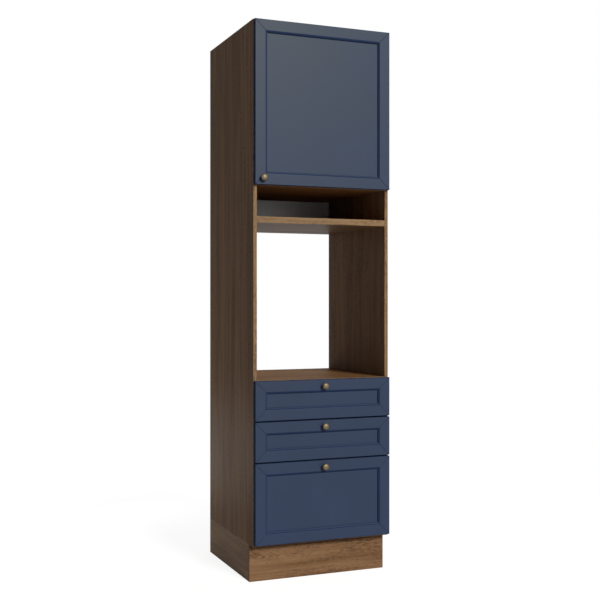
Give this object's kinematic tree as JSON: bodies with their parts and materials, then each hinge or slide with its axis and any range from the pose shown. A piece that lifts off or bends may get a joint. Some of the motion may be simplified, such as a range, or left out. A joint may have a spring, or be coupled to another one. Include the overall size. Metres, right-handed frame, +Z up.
{
  "type": "tall oven housing unit",
  "caption": "Tall kitchen housing for a built-in oven, with a hinged cupboard door, an open niche and drawers on a recessed plinth.",
  "frame": {"origin": "on the floor under the middle of the unit's outline, from the knobs' tips to the back panels and from side to side", "axes": "+Z up, -Y out of the fronts, +X to the right of someone who faces the fronts"},
  "size_m": [0.6, 0.628, 2.26],
  "materials": {
    "walnut_board": "wood-grain melamine facing, matt",
    "blue_lacquer": "slate blue satin lacquer on fibreboard",
    "white_hardboard": "white painted hardboard, matt",
    "aged_brass": "aged brass, turned and lacquered",
    "nickel_plated_steel": "nickel-plated pressed steel",
    "white_coated_steel": "white epoxy-coated folded steel"
  },
  "bodies": {
    "carcass": {"plinth_front": "walnut_board", "plinth_left_side": "walnut_board", "plinth_right_side": "walnut_board", "plinth_back": "walnut_board", "left_side_panel": "walnut_board", "right_side_panel": "walnut_board", "bottom_panel": "walnut_board", "oven_deck": "walnut_board", "oven_shelf": "walnut_board", "cupboard_floor": "walnut_board", "cupboard_shelf": "walnut_board", "top_panel": "walnut_board", "lower_back_panel": "white_hardboard", "upper_back_panel": "white_hardboard", "lower_hinge_arm": "nickel_plated_steel", "lower_hinge_plate": "nickel_plated_steel", "upper_hinge_arm": "nickel_plated_steel", "upper_hinge_plate": "nickel_plated_steel", "cabinet_runner_1_left": "white_coated_steel", "cabinet_runner_1_right": "white_coated_steel", "cabinet_runner_2_left": "white_coated_steel", "cabinet_runner_2_right": "white_coated_steel", "cabinet_runner_3_left": "white_coated_steel", "cabinet_runner_3_right": "white_coated_steel"},
    "door": {"door_left_stile": "blue_lacquer", "door_right_stile": "blue_lacquer", "door_bottom_rail": "blue_lacquer", "door_top_rail": "blue_lacquer", "door_panel": "blue_lacquer", "door_knob": "aged_brass", "lower_hinge_cup": "nickel_plated_steel", "upper_hinge_cup": "nickel_plated_steel"},
    "drawer_1": {"drawer_1_front_frame": "blue_lacquer", "drawer_1_front_panel": "blue_lacquer", "drawer_1_left_side": "walnut_board", "drawer_1_right_side": "walnut_board", "drawer_1_back": "walnut_board", "drawer_1_bottom": "white_hardboard", "drawer_1_knob": "aged_brass", "drawer_1_left_runner": "white_coated_steel", "drawer_1_right_runner": "white_coated_steel"},
    "drawer_2": {"drawer_2_front_frame": "blue_lacquer", "drawer_2_front_panel": "blue_lacquer", "drawer_2_left_side": "walnut_board", "drawer_2_right_side": "walnut_board", "drawer_2_back": "walnut_board", "drawer_2_bottom": "white_hardboard", "drawer_2_knob": "aged_brass", "drawer_2_left_runner": "white_coated_steel", "drawer_2_right_runner": "white_coated_steel"},
    "drawer_3": {"drawer_3_front_frame": "blue_lacquer", "drawer_3_front_panel": "blue_lacquer", "drawer_3_left_side": "walnut_board", "drawer_3_right_side": "walnut_board", "drawer_3_back": "walnut_board", "drawer_3_bottom": "white_hardboard", "drawer_3_knob": "aged_brass", "drawer_3_left_runner": "white_coated_steel", "drawer_3_right_runner": "white_coated_steel"}
  },
  "joints": [
    {"name": "door_hinge", "type": "hinge", "parent": "carcass", "child": "door", "pos_m": [0.2919, -0.2825, 1.92775], "axis": [0, 0, 1], "range_deg": [0, 95]},
    {"name": "drawer_1_slide", "type": "slide", "parent": "carcass", "child": "drawer_1", "axis": [0, -1, 0], "range_m": [0, 0.34]},
    {"name": "drawer_2_slide", "type": "slide", "parent": "carcass", "child": "drawer_2", "axis": [0, -1, 0], "range_m": [0, 0.34]},
    {"name": "drawer_3_slide", "type": "slide", "parent": "carcass", "child": "drawer_3", "axis": [0, -1, 0], "range_m": [0, 0.34]}
  ]
}
